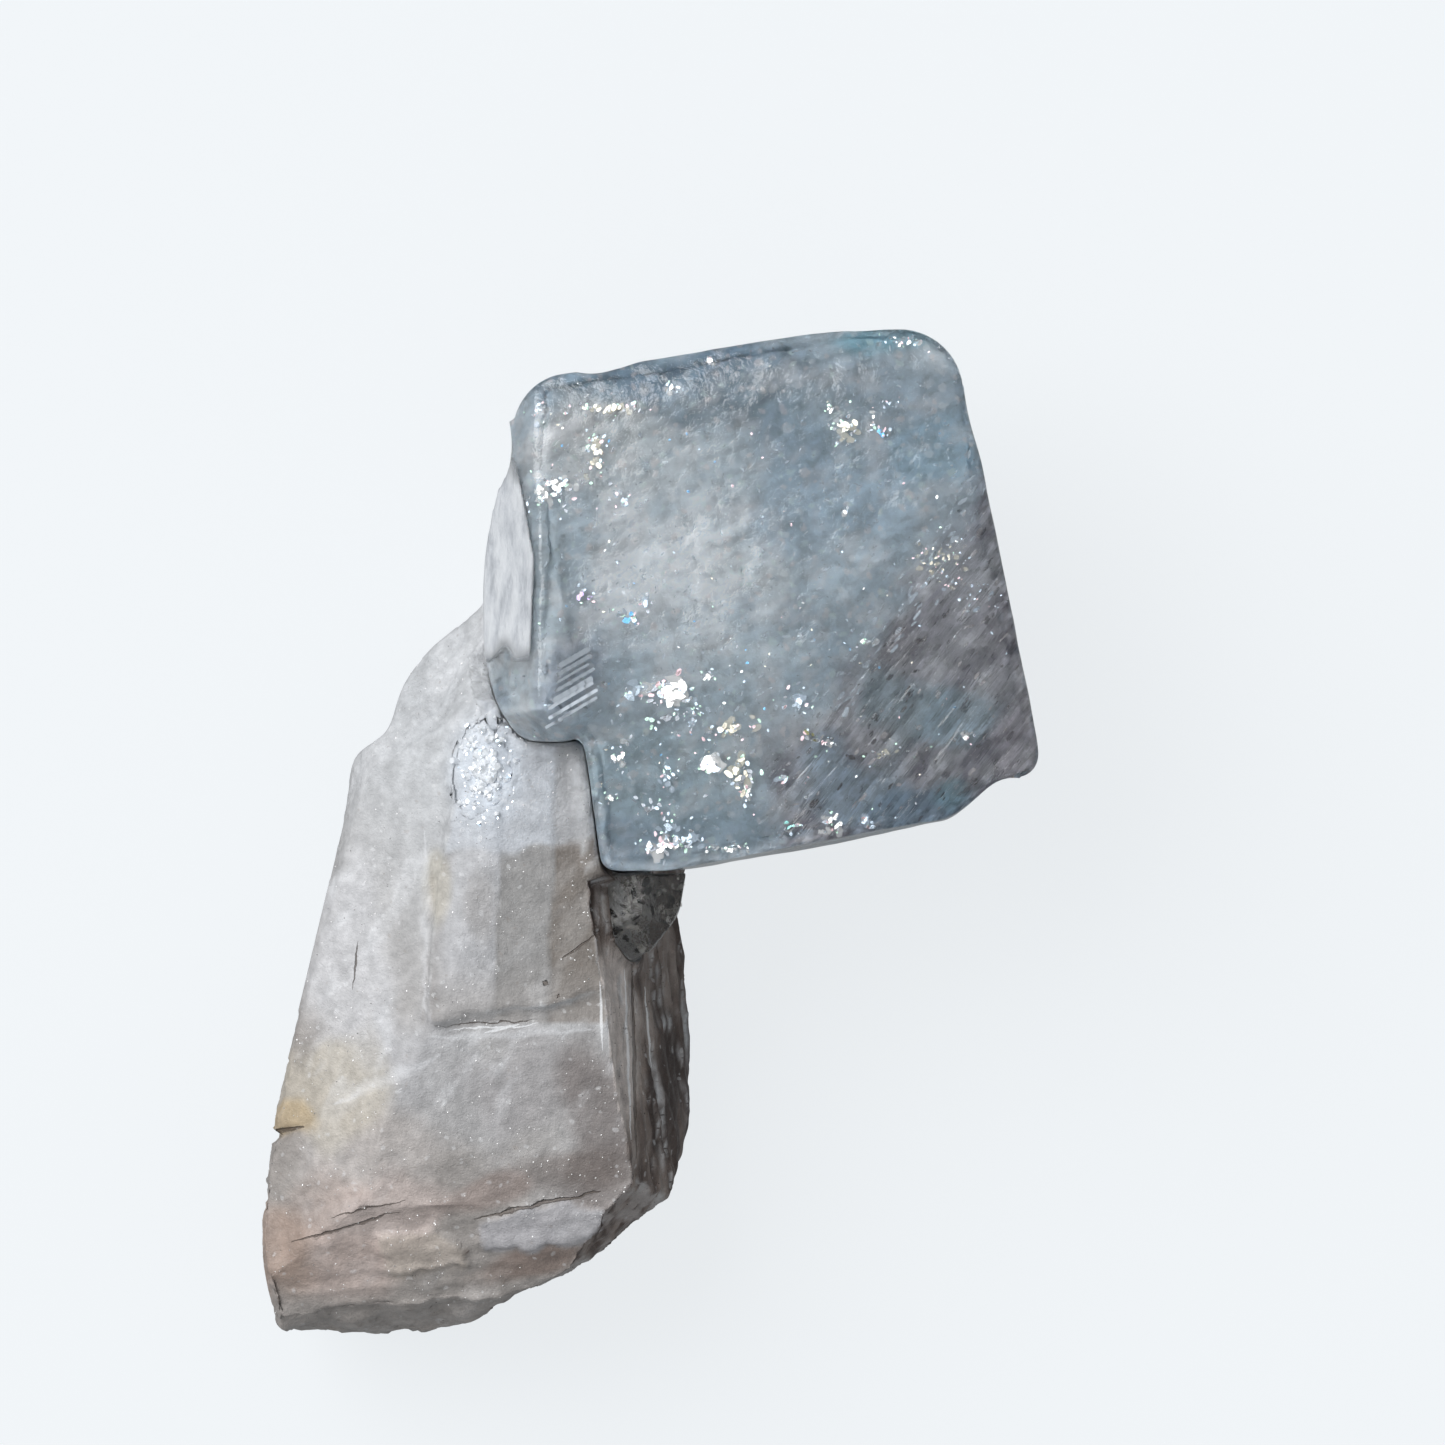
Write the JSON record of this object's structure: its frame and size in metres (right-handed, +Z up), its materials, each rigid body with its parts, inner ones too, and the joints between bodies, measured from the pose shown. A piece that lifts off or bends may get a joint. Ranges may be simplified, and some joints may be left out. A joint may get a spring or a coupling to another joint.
{
  "type": "mineral specimen",
  "caption": "Blue, nearly square euclase crystal grown on a pale piece of feldspar, lying on its back, with a small smoky crystal and a patch of tiny clear ones.",
  "frame": {"origin": "on the ground, below the middle of the specimen's bounding box", "axes": "+Y from the broken lower end of the feldspar to the top edge of the blue crystal, +Z up through the specimen's display face, +X to its right"},
  "size_m": [0.0156, 0.0204, 0.0085],
  "materials": {
    "euclase": "clear to cloudy pale blue crystal, vitreous",
    "feldspar": "white to grey feldspar with pearly cleavages and rough breaks",
    "smoky_quartz": "clear smoky grey crystal with black specks",
    "clear_quartz": "clear sparkling crystals"
  },
  "bodies": {
    "root": {"euclase_crystal": "euclase", "feldspar_matrix": "feldspar", "smoky_quartz": "smoky_quartz", "clear_druse": "clear_quartz"}
  },
  "joints": []
}
